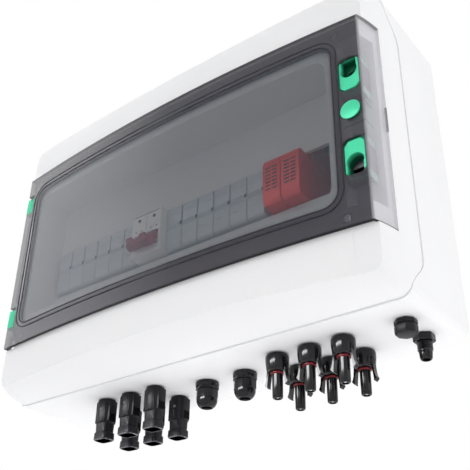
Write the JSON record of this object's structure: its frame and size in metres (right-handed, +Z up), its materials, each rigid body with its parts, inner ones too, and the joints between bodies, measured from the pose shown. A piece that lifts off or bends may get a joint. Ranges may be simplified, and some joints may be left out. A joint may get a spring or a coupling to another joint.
{
  "type": "dc combiner box",
  "caption": "Wall-hung DC combiner box: white plastic enclosure with a bowed smoked door, pinch latches, a fuse row, a breaker, a surge arrester and solar connectors underneath.",
  "frame": {"origin": "centre of the flat back face that lies on the wall", "axes": "+X to the right of a person facing the door, +Y into the wall, +Z up"},
  "size_m": [0.4098, 0.14, 0.3228],
  "materials": {
    "white_abs": "satin",
    "grey_rubber": "matt",
    "zinc_steel": "zinc plated",
    "smoked_polycarbonate": "clear, smoked",
    "green_nylon": "satin",
    "device_grey": "satin",
    "device_white": "satin",
    "handle_red": "satin",
    "surge_red": "satin",
    "copper": "bare",
    "brass": "bare",
    "black_nylon": "satin"
  },
  "bodies": {
    "housing": {"rear_base": "white_abs", "front_cover": "white_abs", "cover_gasket": "grey_rubber", "cover_screw_1": "zinc_steel", "cover_screw_2": "zinc_steel", "cover_screw_3": "zinc_steel", "cover_screw_4": "zinc_steel", "din_rail": "zinc_steel", "rail_bracket_left": "zinc_steel", "rail_bracket_right": "zinc_steel", "hinge_clip_upper": "green_nylon", "hinge_clip_lower": "green_nylon", "fuse_holder_left_1": "device_grey", "fuse_holder_left_2": "device_grey", "fuse_holder_left_3": "device_grey", "fuse_holder_right_1": "device_grey", "fuse_holder_right_2": "device_grey", "fuse_holder_right_3": "device_grey", "breaker_body": "device_white", "surge_base": "surge_red", "string_busbar": "copper", "earth_bar": "brass", "pv_socket_1": "black_nylon", "pv_socket_2": "black_nylon", "pv_socket_3": "black_nylon", "pv_socket_4": "black_nylon", "pv_socket_5": "black_nylon", "pv_socket_6": "black_nylon", "pv_plug_1": "black_nylon", "pv_plug_2": "black_nylon", "pv_plug_3": "black_nylon", "pv_plug_4": "black_nylon", "pv_plug_5": "black_nylon", "pv_plug_6": "black_nylon", "gland_body_left": "black_nylon", "gland_body_right": "black_nylon", "earth_gland": "black_nylon", "vent_plug": "black_nylon"},
    "door": {"door": "smoked_polycarbonate", "door_seal": "grey_rubber", "lock_cap": "green_nylon"},
    "latch_upper": {"latch_upper": "green_nylon"},
    "latch_lower": {"latch_lower": "green_nylon"},
    "breaker_toggle": {"breaker_toggle": "handle_red"},
    "surge_cartridge_1": {"surge_cartridge_1": "surge_red"},
    "surge_cartridge_2": {"surge_cartridge_2": "surge_red"},
    "gland_nut_left": {"gland_nut_left": "black_nylon"},
    "gland_nut_right": {"gland_nut_right": "black_nylon"},
    "fuse_carrier_left_1": {"fuse_carrier_left_1": "device_grey"},
    "fuse_carrier_left_2": {"fuse_carrier_left_2": "device_grey"},
    "fuse_carrier_left_3": {"fuse_carrier_left_3": "device_grey"},
    "fuse_carrier_left_4": {"fuse_carrier_left_4": "device_grey"},
    "fuse_carrier_left_5": {"fuse_carrier_left_5": "device_grey"},
    "fuse_carrier_left_6": {"fuse_carrier_left_6": "device_grey"},
    "fuse_carrier_right_1": {"fuse_carrier_right_1": "device_grey"},
    "fuse_carrier_right_2": {"fuse_carrier_right_2": "device_grey"},
    "fuse_carrier_right_3": {"fuse_carrier_right_3": "device_grey"},
    "fuse_carrier_right_4": {"fuse_carrier_right_4": "device_grey"},
    "fuse_carrier_right_5": {"fuse_carrier_right_5": "device_grey"},
    "fuse_carrier_right_6": {"fuse_carrier_right_6": "device_grey"}
  },
  "joints": [
    {"name": "door_hinge", "type": "hinge", "parent": "housing", "child": "door", "pos_m": [-0.191, -0.1199, 0], "axis": [0, 0, -1], "range_deg": [0, 110]},
    {"name": "latch_upper_slide", "type": "slide", "parent": "door", "child": "latch_upper", "axis": [0, 0, -1], "range_m": [0, 0.002], "stiffness_N_per_m": 300},
    {"name": "latch_lower_slide", "type": "slide", "parent": "door", "child": "latch_lower", "axis": [0, 0, 1], "range_m": [0, 0.002], "stiffness_N_per_m": 300},
    {"name": "breaker_toggle_turn", "type": "hinge", "parent": "housing", "child": "breaker_toggle", "pos_m": [-0.044, -0.1035, -0.015], "axis": [-1, 0, 0], "range_deg": [0, 84]},
    {"name": "fuse_carrier_left_1_swing", "type": "hinge", "parent": "housing", "child": "fuse_carrier_left_1", "pos_m": [-0.161, -0.095, -0.0285], "axis": [1, 0, 0], "range_deg": [0, 45]},
    {"name": "fuse_carrier_left_2_swing", "type": "hinge", "parent": "housing", "child": "fuse_carrier_left_2", "pos_m": [-0.143, -0.095, -0.0285], "axis": [1, 0, 0], "range_deg": [0, 45]},
    {"name": "fuse_carrier_left_3_swing", "type": "hinge", "parent": "housing", "child": "fuse_carrier_left_3", "pos_m": [-0.125, -0.095, -0.0285], "axis": [1, 0, 0], "range_deg": [0, 45]},
    {"name": "fuse_carrier_left_4_swing", "type": "hinge", "parent": "housing", "child": "fuse_carrier_left_4", "pos_m": [-0.107, -0.095, -0.0285], "axis": [1, 0, 0], "range_deg": [0, 45]},
    {"name": "fuse_carrier_left_5_swing", "type": "hinge", "parent": "housing", "child": "fuse_carrier_left_5", "pos_m": [-0.089, -0.095, -0.0285], "axis": [1, 0, 0], "range_deg": [0, 45]},
    {"name": "fuse_carrier_left_6_swing", "type": "hinge", "parent": "housing", "child": "fuse_carrier_left_6", "pos_m": [-0.071, -0.095, -0.0285], "axis": [1, 0, 0], "range_deg": [0, 45]},
    {"name": "fuse_carrier_right_1_swing", "type": "hinge", "parent": "housing", "child": "fuse_carrier_right_1", "pos_m": [-0.017, -0.095, -0.0285], "axis": [1, 0, 0], "range_deg": [0, 45]},
    {"name": "fuse_carrier_right_2_swing", "type": "hinge", "parent": "housing", "child": "fuse_carrier_right_2", "pos_m": [0.001, -0.095, -0.0285], "axis": [1, 0, 0], "range_deg": [0, 45]},
    {"name": "fuse_carrier_right_3_swing", "type": "hinge", "parent": "housing", "child": "fuse_carrier_right_3", "pos_m": [0.019, -0.095, -0.0285], "axis": [1, 0, 0], "range_deg": [0, 45]},
    {"name": "fuse_carrier_right_4_swing", "type": "hinge", "parent": "housing", "child": "fuse_carrier_right_4", "pos_m": [0.037, -0.095, -0.0285], "axis": [1, 0, 0], "range_deg": [0, 45]},
    {"name": "fuse_carrier_right_5_swing", "type": "hinge", "parent": "housing", "child": "fuse_carrier_right_5", "pos_m": [0.055, -0.095, -0.0285], "axis": [1, 0, 0], "range_deg": [0, 45]},
    {"name": "fuse_carrier_right_6_swing", "type": "hinge", "parent": "housing", "child": "fuse_carrier_right_6", "pos_m": [0.073, -0.095, -0.0285], "axis": [1, 0, 0], "range_deg": [0, 45]},
    {"name": "surge_cartridge_1_pull", "type": "slide", "parent": "housing", "child": "surge_cartridge_1", "axis": [0, -1, 0], "range_m": [0, 0.022]},
    {"name": "surge_cartridge_2_pull", "type": "slide", "parent": "housing", "child": "surge_cartridge_2", "axis": [0, -1, 0], "range_m": [0, 0.022]},
    {"name": "gland_nut_left_turn", "type": "hinge", "parent": "housing", "child": "gland_nut_left", "pos_m": [-0.0133, -0.0483, -0.155], "axis": [0, 0, 1], "continuous": true},
    {"name": "gland_nut_right_turn", "type": "hinge", "parent": "housing", "child": "gland_nut_right", "pos_m": [0.0268, -0.0483, -0.155], "axis": [0, 0, 1], "continuous": true}
  ]
}
